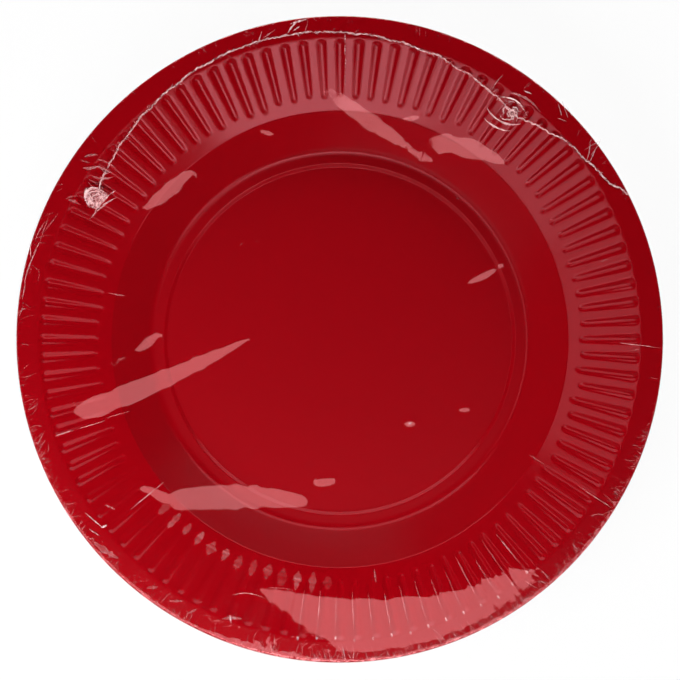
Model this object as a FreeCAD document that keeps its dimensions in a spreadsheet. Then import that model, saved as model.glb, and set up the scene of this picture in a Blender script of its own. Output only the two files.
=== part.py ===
import FreeCAD, Part
import math
import os
import Sketcher

# A pack of round paper plates, nested eating side up and closed in clear shrink film.
# Millimetres. The origin is the middle of the pack's underside, and +Z is up.

SIZES = {
    # the pack
    "plate_count": 8,
    "nest_pitch": 0.8,
    # one plate, seen from above
    "plate_diameter": 230.0,
    "floor_diameter": 123.4,
    "ledge_diameter": 125.0,
    "wall_foot_diameter": 136.4,
    "wall_top_diameter": 157.2,
    "rim_diameter": 214.8,
    # one plate, in section
    "board_thickness": 0.4,
    "step_rise": 0.5,
    "wall_slope": 45.0,
    "rim_slope": 12.0,
    "foot_bevel": 2.1,
    # the flutes pressed into the rim
    "flute_count": 100,
    "flute_start_diameter": 171.4,
    "flute_end_diameter": 213.6,
    "flute_width": 3.9,
    "flute_depth": 0.9,
    "flute_end_slope": 50.0,
    # the shrink film
    "film_gauge": 0.05,
    "film_clearance": 0.1,
    # the heat seal across the top of the film, and the two corners that it ends in
    "seal_width": 0.6,
    "seal_height": 0.25,
    "seal_radius": 88.0,
    "seal_tail_radius": 160.0,
    "left_corner_x": 87.0,
    "left_corner_y": 50.6,
    "left_corner_width": 7.6,
    "left_corner_height": 1.4,
    "right_corner_x": 61.3,
    "right_corner_y": 80.5,
    "right_corner_width": 3.6,
    "right_corner_height": 0.9,
    "tail_end_x": 102.6,
    "tail_end_y": 51.2,
}

doc = FreeCAD.newDocument("plate_pack")
sheet = doc.addObject("Spreadsheet::Sheet", "Sizes")
for row, (alias, value) in enumerate(SIZES.items(), start=1):
    sheet.set(f"A{row}", alias)
    sheet.set(f"B{row}", str(value))
    sheet.setAlias(f"B{row}", alias)
doc.recompute()


def number(expression):
    """The value of an expression on the sheet's cells."""
    value = sheet.evalExpression(expression)
    return float(getattr(value, "Value", value))


def new_body(label):
    body = doc.addObject("PartDesign::Body", label)
    body.Label = label
    return body


def origin_part(body, role):
    return next(item for item in body.Origin.OriginFeatures if item.Role == role)


def new_sketch(body, name, place=None, turn=None):
    """An upright sketch on the body's XZ plane. place, an (x, y) pair of expressions, moves its
    vertical axis there, and turn, in degrees, swings the sketch about that axis."""
    sketch = body.newObject("Sketcher::SketchObject", name)
    sketch.AttachmentSupport = [(origin_part(body, "XZ_Plane"), "")]
    sketch.MapMode = "FlatFace"
    if place:
        sketch.setExpression("AttachmentOffset.Base.x", place[0])
        sketch.setExpression("AttachmentOffset.Base.z", f"-({place[1]})")
    if turn:
        sketch.AttachmentOffset = FreeCAD.Placement(
            sketch.AttachmentOffset.Base, FreeCAD.Rotation(FreeCAD.Vector(0, 1, 0), 1))
        sketch.setExpression("AttachmentOffset.Rotation.Angle", turn)
    return sketch


def pin_point(sketch, geometry, end, x, y):
    """Holds one end of a line or arc at two expressions."""
    for kind, expression in (("DistanceX", x), ("DistanceY", y)):
        place = sketch.addConstraint(
            Sketcher.Constraint(kind, -1, 1, geometry, end, number(expression)))
        sketch.setExpression(f"Constraints[{place}]", expression)


def draw_outline(sketch, points):
    """A closed outline of lines and arcs. Each point is (x, y, bulge): x and y are expressions, and
    bulge is None for a straight side to the next point, or the arc's (radius, side), where side is
    +1 for an arc that turns left on its way and -1 for one that turns right."""
    spots = [FreeCAD.Vector(number(x), number(y), 0) for x, y, bulge in points]
    for index, (x, y, bulge) in enumerate(points):
        here = spots[index]
        there = spots[(index + 1) % len(points)]
        if bulge is None:
            sketch.addGeometry(Part.LineSegment(here, there), False)
            pin_point(sketch, index, 1, x, y)
            continue
        radius, side = bulge
        size = number(radius)
        chord = there - here
        normal = FreeCAD.Vector(-chord.y, chord.x, 0).normalize()
        reach = math.sqrt(max(size ** 2 - chord.Length ** 2 / 4, 0))
        centre = (here + there) * 0.5 + normal * (side * reach)
        start = math.atan2(here.y - centre.y, here.x - centre.x)
        finish = math.atan2(there.y - centre.y, there.x - centre.x)
        if side < 0:
            start, finish = finish, start
        circle = Part.Circle(centre, FreeCAD.Vector(0, 0, 1), size)
        sketch.addGeometry(Part.ArcOfCircle(circle, start, finish), False)
        pin_point(sketch, index, 1 if side > 0 else 2, x, y)
        place = sketch.addConstraint(Sketcher.Constraint("Radius", index, size))
        sketch.setExpression(f"Constraints[{place}]", radius)
    for index, (x, y, bulge) in enumerate(points):
        after = (index + 1) % len(points)
        last_end = 1 if bulge and bulge[1] < 0 else 2
        next_bulge = points[after][2]
        first_end = 2 if next_bulge and next_bulge[1] < 0 else 1
        sketch.addConstraint(Sketcher.Constraint("Coincident", index, last_end, after, first_end))


def turn_about(body, kind, name, sketch, axis, angle="360"):
    """A Revolution or Groove of a sketch about one of its axes."""
    feature = body.newObject(f"PartDesign::{kind}", name)
    feature.Profile = sketch
    feature.ReferenceAxis = (sketch, [axis])
    feature.setExpression("Angle", angle)
    return feature


def ring_of(body, name, feature, count):
    """The feature repeated evenly about the body's Z axis."""
    pattern = body.newObject("PartDesign::PolarPattern", name)
    pattern.Originals = [feature]
    pattern.Axis = (origin_part(body, "Z_Axis"), [""])
    pattern.Angle = 360
    pattern.setExpression("Occurrences", count)
    body.Tip = pattern
    return pattern


# The plate's section. Its underside runs outwards through these corners at these slopes, and the
# board stands on it at one thickness all the way.

LEVEL = "(0 deg)"
UPRIGHT = "(90 deg)"
WALL_SLOPE = "(Sizes.wall_slope * 1 deg)"
RIM_SLOPE = "(Sizes.rim_slope * 1 deg)"
FOOT_SLOPE = f"({WALL_SLOPE} / 2)"
STEP_SLOPE = "atan(Sizes.step_rise / (Sizes.ledge_diameter / 2 - Sizes.floor_diameter / 2))"
FOOT_HEIGHT = "Sizes.step_rise"
BROW_HEIGHT = (f"({FOOT_HEIGHT} + (Sizes.wall_top_diameter - Sizes.wall_foot_diameter) / 2"
               f" * tan({WALL_SLOPE}))")
LIP_HEIGHT = (f"({BROW_HEIGHT} + (Sizes.rim_diameter - Sizes.wall_top_diameter) / 2"
              f" * tan({RIM_SLOPE}))")

CORNERS = [
    # radius, height, slope before, slope after
    ("Sizes.floor_diameter / 2", "0", LEVEL, STEP_SLOPE),
    ("Sizes.ledge_diameter / 2", FOOT_HEIGHT, STEP_SLOPE, LEVEL),
    ("(Sizes.wall_foot_diameter / 2 - Sizes.foot_bevel)", FOOT_HEIGHT, LEVEL, FOOT_SLOPE),
    (f"(Sizes.wall_foot_diameter / 2 + Sizes.foot_bevel * cos({WALL_SLOPE}))",
     f"({FOOT_HEIGHT} + Sizes.foot_bevel * sin({WALL_SLOPE}))", FOOT_SLOPE, WALL_SLOPE),
    ("Sizes.wall_top_diameter / 2", BROW_HEIGHT, WALL_SLOPE, RIM_SLOPE),
    ("Sizes.rim_diameter / 2", LIP_HEIGHT, RIM_SLOPE, LEVEL),
]


def offset_corner(corner, lift):
    """A corner of a line that lies lift to the left of the one whose corner this is."""
    x, y, before, after = corner
    half = f"((({after}) - ({before})) / 2)"
    middle = f"((({after}) + ({before})) / 2)"
    return (f"({x} - {lift} * sin({middle}) / cos({half}))",
            f"({y} + {lift} * cos({middle}) / cos({half}))", None)


def plate_outline():
    board = "Sizes.board_thickness"
    edge = "Sizes.plate_diameter / 2"
    underside = [offset_corner(corner, "0") for corner in CORNERS]
    upper_side = [offset_corner(corner, board) for corner in CORNERS]
    return [("0", "0", None), *underside, (edge, LIP_HEIGHT, None),
            (edge, f"{LIP_HEIGHT} + {board}", None), *upper_side[::-1], ("0", board, None)]


# A flute is pressed down into the rim. Its floor line starts in the rim's upper face, at the tip, and
# runs out less steeply than the face, so that the flute gets deeper and wider as far as its end wall.

END_SLOPE = "(Sizes.flute_end_slope * 1 deg)"
TIP_X = "(Sizes.flute_start_diameter / 2)"
END_X = "(Sizes.flute_end_diameter / 2)"


def rim_face(x):
    """Height of the rim's upper face at a distance x from the plate's axis."""
    return (f"({BROW_HEIGHT} + Sizes.board_thickness / cos({RIM_SLOPE})"
            f" + ({x} - Sizes.wall_top_diameter / 2) * tan({RIM_SLOPE}))")


# The flute's depth down its end wall, and the floor line that this gives
WALL_DOWN = f"(Sizes.flute_depth / sin({END_SLOPE} - {RIM_SLOPE}))"
FLOOR_RUN = f"({END_X} - {WALL_DOWN} * cos({END_SLOPE}) - {TIP_X})"
FLOOR_RISE = f"({rim_face(END_X)} - {WALL_DOWN} * sin({END_SLOPE}) - {rim_face(TIP_X)})"
FLOOR_SLOPE = f"atan({FLOOR_RISE} / {FLOOR_RUN})"
SQUARE = f"sin({END_SLOPE} - {FLOOR_SLOPE})"
HALF_WIDTH = "(Sizes.flute_width / 2)"
SIDE_LEAN = f"atan({WALL_DOWN} * {SQUARE} / {HALF_WIDTH})"

# The ridges under the rim stop inside the board, this share of its thickness below its upper face,
# and the sides of a flute's bar rise this many times the flute's depth.
RIDGE_STOP = 0.75
BAR_RISE = 1.2


def flute_bar(body, kind, name, skin, length):
    """The flute's V section, drawn on its end wall and run inwards along its floor line. skin is
    what each face stands out by: nothing for the hollow above the board, and the board's thickness
    for the ridge below it."""
    sketch = body.newObject("Sketcher::SketchObject", name + "_section")
    sketch.AttachmentSupport = [(origin_part(body, "YZ_Plane"), "")]
    sketch.MapMode = "FlatFace"
    sketch.AttachmentOffset = FreeCAD.Placement(
        FreeCAD.Vector(0, 0, 0), FreeCAD.Rotation(FreeCAD.Vector(1, 0, 0), 1))
    out = f"{skin} / {SQUARE}"
    sketch.setExpression("AttachmentOffset.Base.y", f"{rim_face(END_X)} + {out} * sin({FLOOR_SLOPE})")
    sketch.setExpression("AttachmentOffset.Base.z", f"{END_X} + {out} * cos({FLOOR_SLOPE})")
    sketch.setExpression("AttachmentOffset.Rotation.Angle", f"90 deg - {END_SLOPE}")
    low = f"(-{WALL_DOWN} - {skin} / cos({SIDE_LEAN}) / {SQUARE})"
    high = f"({low} + {BAR_RISE} * {WALL_DOWN})"
    side = f"({BAR_RISE} * {HALF_WIDTH})"
    draw_outline(sketch, [("0", low, None), (side, high, None), (f"-{side}", high, None)])
    bar = body.newObject(f"PartDesign::{kind}", name)
    bar.Profile = sketch
    bar.UseCustomVector = True
    bar.Direction = FreeCAD.Vector(-1, 0, 0)
    bar.setExpression("Direction.x", f"-cos({FLOOR_SLOPE})")
    bar.setExpression("Direction.z", f"-sin({FLOOR_SLOPE})")
    bar.AlongSketchNormal = False
    bar.setExpression("Length", length)
    return bar


def make_plate(label):
    body = new_body(label)
    run = f"{FLOOR_RUN} / cos({FLOOR_SLOPE})"
    lead_in = f"Sizes.board_thickness / 2 / tan({RIM_SLOPE} - {FLOOR_SLOPE})"
    ridge = flute_bar(body, "Pad", label + "_ridge", "Sizes.board_thickness", f"{run} + {lead_in}")
    ring_of(body, label + "_ridges", ridge, "Sizes.flute_count")
    doc.recompute()
    level = new_sketch(body, label + "_ridge_tops")
    inner = "(Sizes.wall_foot_diameter / 2)"
    outer = "(Sizes.plate_diameter / 2)"
    sink = f"{RIDGE_STOP} * Sizes.board_thickness / cos({RIM_SLOPE})"
    above = f"({rim_face(outer)} + 4 * Sizes.flute_depth)"
    draw_outline(level, [
        (inner, f"{rim_face(inner)} - {sink}", None),
        (outer, f"{rim_face(outer)} - {sink}", None),
        (outer, above, None),
        (inner, above, None),
    ])
    turn_about(body, "Groove", label + "_ridge_trim", level, "V_Axis")
    doc.recompute()
    section = new_sketch(body, label + "_section")
    draw_outline(section, plate_outline())
    turn_about(body, "Revolution", label + "_blank", section, "V_Axis")
    doc.recompute()
    hollow = flute_bar(body, "Pocket", label + "_hollow", "0", f"{run} * 1.1")
    ring_of(body, label + "_hollows", hollow, "Sizes.flute_count")
    return body


def stand_at(body, height):
    body.setExpression("Placement.Base.z", height)


plates = [make_plate("plate_1")]
doc.recompute()
for index in range(1, round(number("Sizes.plate_count"))):
    copy = new_body(f"plate_{index + 1}")
    copy.BaseFeature = plates[0]
    plates.append(copy)
for index, plate in enumerate(plates):
    stand_at(plate, f"Sizes.film_gauge + {index} * Sizes.nest_pitch")
doc.recompute()

# The film is one closed skin. Under the pack it lies flat on the lowest plate's floor, runs out to
# the foot of the wall and then taut to the rim. It goes straight up past the edges of the stack and
# lies level across the top plate's rim.

STACK_HEIGHT = ("((Sizes.plate_count - 1) * Sizes.nest_pitch"
                f" + {LIP_HEIGHT} + Sizes.board_thickness)")
TAUT_SLOPE = (f"atan(({LIP_HEIGHT} - {FOOT_HEIGHT}) / (Sizes.plate_diameter / 2"
              " + Sizes.film_clearance - Sizes.wall_foot_diameter / 2))")
CREEP_SLOPE = (f"atan({FOOT_HEIGHT} / (Sizes.wall_foot_diameter / 2"
               " - Sizes.floor_diameter / 2))")
FILM_TOP = f"({STACK_HEIGHT} + 2 * Sizes.film_gauge)"


def film_line(skin):
    """The film's section from the middle of the underside round to the middle of the top, skin
    outside its inner face."""
    side = "(Sizes.plate_diameter / 2 + Sizes.film_clearance)"
    corners = [
        ("Sizes.floor_diameter / 2", "Sizes.film_gauge", LEVEL, CREEP_SLOPE),
        ("Sizes.wall_foot_diameter / 2", f"(Sizes.film_gauge + {FOOT_HEIGHT})", CREEP_SLOPE,
         TAUT_SLOPE),
        (side, f"(Sizes.film_gauge + {LIP_HEIGHT})", TAUT_SLOPE, UPRIGHT),
        (side, f"(Sizes.film_gauge + {STACK_HEIGHT})", UPRIGHT, "(180 deg)"),
    ]
    return [("0", f"Sizes.film_gauge - {skin}", None),
            *[offset_corner(corner, f"(-{skin})") for corner in corners],
            ("0", f"Sizes.film_gauge + {STACK_HEIGHT} + {skin}", None)]


def dome_outline(width, height):
    """A low dome that stands on the film's inner face."""
    base = f"{FILM_TOP} - Sizes.film_gauge"
    half = f"({width} / 2)"
    size = f"(({half} ^ 2 + {height} ^ 2) / (2 * {height}))"
    return [("0", base, None), (half, base, (size, 1)), ("0", f"{base} + {height}", None)]


def seal_outline(radius):
    """The seal's bead, standing on the film's inner face at a distance from its arc's centre."""
    base = f"{FILM_TOP} - Sizes.film_gauge"
    half = "(Sizes.seal_width / 2)"
    size = f"(({half} ^ 2 + Sizes.seal_height ^ 2) / (2 * Sizes.seal_height))"
    return [(f"{radius} - {half}", base, None),
            (f"{radius} + {half}", base, (size, 1))]


film = new_body("shrink_film")
skin_sketch = new_sketch(film, "skin_section")
draw_outline(skin_sketch, film_line("Sizes.film_gauge") + film_line("0")[::-1])
turn_about(film, "Revolution", "skin", skin_sketch, "V_Axis")
doc.recompute()

for name, x in (("left_corner", "-Sizes.left_corner_x"), ("right_corner", "Sizes.right_corner_x")):
    dome = new_sketch(film, name + "_section", place=(x, f"Sizes.{name}_y"))
    draw_outline(dome, dome_outline(f"Sizes.{name}_width", f"Sizes.{name}_height"))
    turn_about(film, "Revolution", name, dome, "V_Axis")
    doc.recompute()


def seal_arc(name, start, finish, radius):
    """A bead along the arc of one radius that runs from start to finish, two points given as pairs
    of expressions, with its centre on the right of that way."""
    across = f"(({finish[0]}) - ({start[0]}))"
    along = f"(({finish[1]}) - ({start[1]}))"
    chord = f"sqrt({across} ^ 2 + {along} ^ 2)"
    reach = f"sqrt({radius} ^ 2 - ({chord}) ^ 2 / 4)"
    centre_x = f"((({start[0]}) + ({finish[0]})) / 2 + {reach} * {along} / {chord})"
    centre_y = f"((({start[1]}) + ({finish[1]})) / 2 - {reach} * {across} / {chord})"
    turn = f"atan2(({finish[1]}) - {centre_y}; ({finish[0]}) - {centre_x})"
    sweep = f"2 * asin({chord} / (2 * {radius}))"
    section = new_sketch(film, name + "_section", place=(centre_x, centre_y), turn=turn)
    draw_outline(section, seal_outline(radius))
    turn_about(film, "Revolution", name, section, "V_Axis", sweep)
    doc.recompute()


left_corner = ("-Sizes.left_corner_x", "Sizes.left_corner_y")
right_corner = ("Sizes.right_corner_x", "Sizes.right_corner_y")
tail_end = ("Sizes.tail_end_x", "Sizes.tail_end_y")
seal_arc("seal", left_corner, right_corner, "Sizes.seal_radius")
seal_arc("seal_tail", right_corner, tail_end, "Sizes.seal_tail_radius")

subparts = [*plates, film]
doc.recompute()
for item in doc.Objects:
    for state in ("Invalid", "Error"):
        if state in item.State:
            raise RuntimeError(f"{item.Label} is {state}")
for item in subparts:
    if item.Shape.isNull() or not item.Shape.isValid() or not item.Shape.Solids:
        raise RuntimeError(f"{item.Label} has no valid shape")

os.makedirs("parts", exist_ok=True)
for item in subparts:
    item.Shape.exportStep(f"parts/{item.Label}.step")
    print(item.Label, len(item.Shape.Solids), round(item.Shape.Volume, 2),
          item.Shape.optimalBoundingBox(False))
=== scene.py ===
from math import cos, pi, radians, sin, tan

import bpy
import numpy as np
from bpy.props import FloatProperty, FloatVectorProperty, IntProperty, PointerProperty
from bpy.types import Operator, Panel, PropertyGroup
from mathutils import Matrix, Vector


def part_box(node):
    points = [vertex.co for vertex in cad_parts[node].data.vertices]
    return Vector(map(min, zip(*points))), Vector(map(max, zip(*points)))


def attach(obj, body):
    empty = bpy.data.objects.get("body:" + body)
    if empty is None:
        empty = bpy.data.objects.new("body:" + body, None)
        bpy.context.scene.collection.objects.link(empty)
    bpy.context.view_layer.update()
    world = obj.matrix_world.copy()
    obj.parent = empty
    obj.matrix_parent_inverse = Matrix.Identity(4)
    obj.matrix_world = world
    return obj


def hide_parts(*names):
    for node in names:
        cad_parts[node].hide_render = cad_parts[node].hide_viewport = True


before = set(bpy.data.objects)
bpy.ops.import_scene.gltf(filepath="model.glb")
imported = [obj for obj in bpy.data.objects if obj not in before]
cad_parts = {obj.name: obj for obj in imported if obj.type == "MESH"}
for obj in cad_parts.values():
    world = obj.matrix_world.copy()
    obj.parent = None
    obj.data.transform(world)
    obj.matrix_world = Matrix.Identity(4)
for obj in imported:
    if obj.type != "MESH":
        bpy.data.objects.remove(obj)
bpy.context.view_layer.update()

bl_info = {
    "name": "Wrapped paper plates",
    "version": (1, 0, 0),
    "blender": (4, 5, 0),
    "location": "3D View > Sidebar > Plates",
    "description": "Fluted paper plates nested in a stack and closed in clear shrink film",
    "category": "Object",
}

MM = 0.001
PLATE_NODES = sorted(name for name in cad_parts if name.startswith("plate_"))
FILM_NODE = "shrink_film"
BODY = "root"

# The photograph looks straight down on the pack. Its pixels measure places on the film.
PHOTO_WIDTH = 680
PHOTO_PIXEL = 0.3557 * MM
PHOTO_MIDDLE = (339.68, 339.35)


def photo_place(column, row):
    """The point of the film, in metres, that a pixel of the photograph shows."""
    x = (np.asarray(column, float) - PHOTO_MIDDLE[0]) * PHOTO_PIXEL
    y = (PHOTO_MIDDLE[1] - np.asarray(row, float)) * PHOTO_PIXEL
    return x, y


# The film's two gathered corners and the end of the seam's tail, in millimetres and in metres.
LEFT_SPOT = (-87.0, 50.6)
RIGHT_SPOT = (61.3, 80.5)
TAIL_SPOT = (102.6, 51.2)
LEFT_CORNER, RIGHT_CORNER, TAIL_END = (
    tuple(part * MM for part in spot) for spot in (LEFT_SPOT, RIGHT_SPOT, TAIL_SPOT)
)

# The lower edge's crest is measured inward from this radius, and no crease stands higher than this.
ROLL_RADIUS = 115.05 * MM
CREASE_HEIGHT = 0.2 * MM


class PlateSizes(PropertyGroup):
    """The form of one plate."""

    floor_radius: FloatProperty(
        name="Floor radius", description="Edge of the flat floor", default=0.0617, unit="LENGTH"
    )
    ledge_radius: FloatProperty(
        name="Ledge radius", description="Top of the small step", default=0.0630, unit="LENGTH"
    )
    foot_radius: FloatProperty(
        name="Wall foot radius", description="Where the wall starts", default=0.0676, unit="LENGTH"
    )
    brow_radius: FloatProperty(
        name="Brow radius", description="Where the wall meets the rim", default=0.0815, unit="LENGTH"
    )
    lip_radius: FloatProperty(
        name="Lip radius", description="Where the rim turns level", default=0.1074, unit="LENGTH"
    )
    board: FloatProperty(
        name="Board", description="Thickness of the board", default=0.0004, unit="LENGTH"
    )
    edge_gap: FloatProperty(
        name="Edge gap", description="From the cut edge to the film", default=0.0002, unit="LENGTH"
    )
    step_slope: FloatProperty(
        name="Step slope", description="Slope of the step", default=radians(24), unit="ROTATION"
    )
    wall_slope: FloatProperty(
        name="Wall slope", description="Slope of the wall", default=radians(37), unit="ROTATION"
    )
    rim_slope: FloatProperty(
        name="Rim slope", description="Slope of the rim", default=radians(12), unit="ROTATION"
    )
    flute_count: IntProperty(
        name="Flutes", description="Flutes round the rim", default=100, min=3
    )
    flute_start: FloatProperty(
        name="Flute start", description="Radius of the inner tips", default=0.0855, unit="LENGTH"
    )
    flute_depth: FloatProperty(
        name="Flute depth", description="Depth at the outer end", default=0.00048, unit="LENGTH"
    )
    flute_tip_width: FloatProperty(
        name="Tip width", description="Width at the inner tip", default=0.0032, unit="LENGTH"
    )
    flute_end_width: FloatProperty(
        name="End width", description="Width at the outer end", default=0.0044, unit="LENGTH"
    )


class FilmSizes(PropertyGroup):
    """The form of the shrink film."""

    fold_tilt: FloatProperty(
        name="Fold tilt", description="Slope inside a fold", default=radians(6), unit="ROTATION"
    )
    rim_tilt: FloatProperty(
        name="Rim tilt", description="Slope of the film over the lower rim",
        default=radians(3.4), unit="ROTATION"
    )
    seal_radius: FloatProperty(
        name="Seal radius", description="Radius of the seam's long arc", default=0.088, unit="LENGTH"
    )
    tail_radius: FloatProperty(
        name="Tail radius", description="Radius of the seam's tail", default=0.160, unit="LENGTH"
    )
    strand: FloatProperty(
        name="Strand", description="Half width of one strand of the seam",
        default=0.00016, unit="LENGTH"
    )


class Finish(PropertyGroup):
    """The colours of the pack."""

    red: FloatVectorProperty(
        name="Eating side", description="Colour of the printed eating side",
        default=(0.32, 0.0006, 0.0042), subtype="COLOR", min=0, max=1
    )
    board: FloatVectorProperty(
        name="Board", description="Colour of the bare board",
        default=(0.78, 0.75, 0.70), subtype="COLOR", min=0, max=1
    )
    film: FloatVectorProperty(
        name="Film", description="Tint of the film's gloss",
        default=(1.0, 0.40, 0.42), subtype="COLOR", min=0, max=1
    )
    # Also the colour of the painted highlights over the lower flutes.
    frost: FloatVectorProperty(
        name="Frost", description="Colour of creased and sealed film",
        default=(0.92, 0.36, 0.38), subtype="COLOR", min=0, max=1
    )
    floor: FloatVectorProperty(
        name="Floor", description="Colour of the floor under the pack",
        default=(0.9, 0.9, 0.9), subtype="COLOR", min=0, max=1
    )


# Shapes

def ramp(value, centre, width):
    """0 before a corner and 1 after it, with the cubic blend 3t2 - 2t3 across its width."""
    t = np.clip((value - centre) / width + 0.5, 0, 1)
    return t * t * (3 - 2 * t)


def wander(x, y, span, seed, waves=11):
    """Soft random relief between about -1 and 1: a sum of plane waves of wavelength near span,
    each with its own heading and start."""
    draw = np.random.default_rng(seed)
    heading = draw.uniform(0, 2 * pi, waves)
    length = span * draw.uniform(0.7, 1.5, waves)
    start = draw.uniform(0, 2 * pi, waves)
    total = 0
    for angle, wavelength, phase in zip(heading, length, start):
        total = total + np.sin(2 * pi * (x * cos(angle) + y * sin(angle)) / wavelength + phase)
    return total / (waves ** 0.5)


def make_object(name, points, corners, sizes, bands=None, materials=(), sharp=60):
    """A mesh object from whole arrays: its points, the faces' corners in one row, and each face's
    corner count. bands gives each face's material."""
    mesh = bpy.data.meshes.new(name)
    mesh.vertices.add(len(points))
    mesh.vertices.foreach_set("co", np.ascontiguousarray(points, np.float32).ravel())
    mesh.loops.add(len(corners))
    mesh.loops.foreach_set("vertex_index", np.ascontiguousarray(corners, np.int32))
    starts = np.concatenate(([0], np.cumsum(sizes)[:-1]))
    mesh.polygons.add(len(sizes))
    mesh.polygons.foreach_set("loop_start", starts.astype(np.int32))
    if bands is not None:
        mesh.polygons.foreach_set("material_index", np.ascontiguousarray(bands, np.int32))
    mesh.polygons.foreach_set("use_smooth", np.ones(len(sizes), bool))
    for material in materials:
        mesh.materials.append(material)
    mesh.update(calc_edges=True)
    mesh.set_sharp_from_angle(angle=radians(sharp))
    piece = bpy.data.objects.new(name, mesh)
    bpy.context.scene.collection.objects.link(piece)
    return piece


def closed_skin(name, radius, height, angles, bands, materials):
    """A closed skin round the Z axis. Row i of radius and height is a ring, from the middle of the
    top outward, over the edge and back to the middle of the underside; the two poles are points at
    the mean height of the first and last ring. bands[i] is the material of the faces from ring
    i - 1 to ring i."""
    rings, turns = radius.shape
    points = np.empty((rings * turns + 2, 3))
    points[:-2, 0] = (radius * np.cos(angles)).ravel()
    points[:-2, 1] = (radius * np.sin(angles)).ravel()
    points[:-2, 2] = height.ravel()
    points[-2] = (0, 0, height[0].mean())
    points[-1] = (0, 0, height[-1].mean())
    here = np.arange(turns)
    after = (here + 1) % turns
    start = (np.arange(rings - 1) * turns)[:, None]
    quads = np.stack(
        (start + here, start + turns + here, start + turns + after, start + after), axis=-1
    ).reshape(-1, 4)
    last = (rings - 1) * turns
    top = np.stack((np.full(turns, len(points) - 2), here, after), axis=-1)
    under = np.stack((np.full(turns, len(points) - 1), last + after, last + here), axis=-1)
    corners = np.concatenate((top.ravel(), quads.ravel(), under.ravel()))
    sizes = np.concatenate((np.full(turns, 3), np.full(len(quads), 4), np.full(turns, 3)))
    face_bands = np.concatenate(
        (np.full(turns, bands[0]), np.repeat(bands[1:rings], turns), np.full(turns, bands[-1]))
    )
    return make_object(name, points, corners, sizes, face_bands, materials)


def beads(name, paths, half_width, height, frost, material, sides=6):
    """Slender beads along paths (bead, station, xyz). Each ring is an oval of that half width
    across the path and that height above it, drawn to a point at both ends, and frost is kept at
    its points."""
    count, stations, _ = paths.shape
    along = np.gradient(paths, axis=1)
    along[..., 2] = 0
    along /= np.maximum(np.linalg.norm(along, axis=-1, keepdims=True), 1e-12)
    across = np.stack((-along[..., 1], along[..., 0], np.zeros_like(along[..., 0])), axis=-1)
    turn = np.arange(sides) * 2 * pi / sides
    lateral = half_width[..., None] * np.cos(turn)
    lift = height[..., None] * np.sin(turn)
    rings = paths[:, :, None, :] + lateral[..., None] * across[:, :, None, :]
    rings[..., 2] += lift
    block = stations * sides + 2
    points = np.empty((count, block, 3))
    points[:, :-2] = rings.reshape(count, -1, 3)
    points[:, -2] = paths[:, 0]
    points[:, -1] = paths[:, -1]
    here = np.arange(sides)
    after = (here + 1) % sides
    start = (np.arange(stations - 1) * sides)[:, None]
    quads = np.stack(
        (start + here, start + after, start + sides + after, start + sides + here), axis=-1
    ).reshape(-1)
    last = (stations - 1) * sides
    head = np.stack((np.full(sides, block - 2), after, here), axis=-1).ravel()
    tail = np.stack((np.full(sides, block - 1), last + here, last + after), axis=-1).ravel()
    one = np.concatenate((head, quads, tail))
    corners = (one[None, :] + (np.arange(count) * block)[:, None]).ravel()
    one_sizes = np.concatenate(
        (np.full(sides, 3), np.full(len(quads) // 4, 4), np.full(sides, 3))
    )
    sizes = np.tile(one_sizes, count)
    piece = make_object(name, points.reshape(-1, 3), corners, sizes, None, (material,))
    shade = np.empty((count, block))
    shade[:, :-2] = np.repeat(frost, sides, axis=1)
    shade[:, -2] = frost[:, 0]
    shade[:, -1] = frost[:, -1]
    layer = piece.data.attributes.new("frost", "FLOAT", "POINT")
    layer.data.foreach_set("value", shade.ravel().astype(np.float32))
    return piece


# Plates

def plate_profile(radius, sizes, edge, rise):
    """Height and slope of the board's underside. Its slope is the sum of its corners' turns, each
    blended over the corner's width, its height is the tangent summed outward, and the whole is
    stretched to the plate's own rise."""
    fine = np.linspace(0, edge, 6001)
    corners = (
        (sizes.floor_radius, sizes.step_slope, 0.3 * MM),
        (sizes.ledge_radius, -sizes.step_slope, 0.3 * MM),
        (sizes.foot_radius, sizes.wall_slope, 4.4 * MM),
        (sizes.brow_radius, sizes.rim_slope - sizes.wall_slope, 0.7 * MM),
        (sizes.lip_radius, -sizes.rim_slope, 1.2 * MM),
    )
    slope = np.tan(sum(turn * ramp(fine, place, width) for place, turn, width in corners))
    height = np.concatenate(([0], np.cumsum((slope[1:] + slope[:-1]) / 2 * np.diff(fine))))
    stretch = rise / height[-1]
    return np.interp(radius, fine, height * stretch), np.interp(radius, fine, slope * stretch)


def flute_depth(radius, angles, sizes):
    """Depth of the flutes below the rim. A flute is a channel with rounded ends: across it the
    depth is full to 0.1 of its half width and gone at 1.0 of it, its half width and depth grow
    outward, and each differs a little from the next."""
    pitch = 2 * pi / sizes.flute_count
    number = np.round(angles / pitch).astype(int) % sizes.flute_count
    draw = np.random.default_rng(11)
    lean = draw.normal(0, 0.02, sizes.flute_count)[number]
    start_slip = draw.normal(0, 0.5 * MM, sizes.flute_count)[number]
    width_share = draw.normal(1, 0.05, sizes.flute_count)[number]
    depth_share = draw.normal(1, 0.06, sizes.flute_count)[number]
    off = angles - np.round(angles / pitch) * pitch - lean * pitch
    lateral = radius * np.sin(off)
    inner = sizes.flute_start + sizes.flute_tip_width / 2 + start_slip
    outer = sizes.lip_radius - sizes.flute_end_width / 2
    share = np.clip((radius - inner) / (outer - inner), 0, 1)
    half = (sizes.flute_tip_width + (sizes.flute_end_width - sizes.flute_tip_width) * share) / 2
    beyond = np.maximum(0, np.maximum(radius - outer, inner - radius))
    reach = np.hypot(lateral, beyond) / (half * width_share)
    deep = sizes.flute_depth * depth_share * (0.45 + 0.55 * share)
    return deep * (1 - ramp(reach, 0.55, 0.9))


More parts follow.
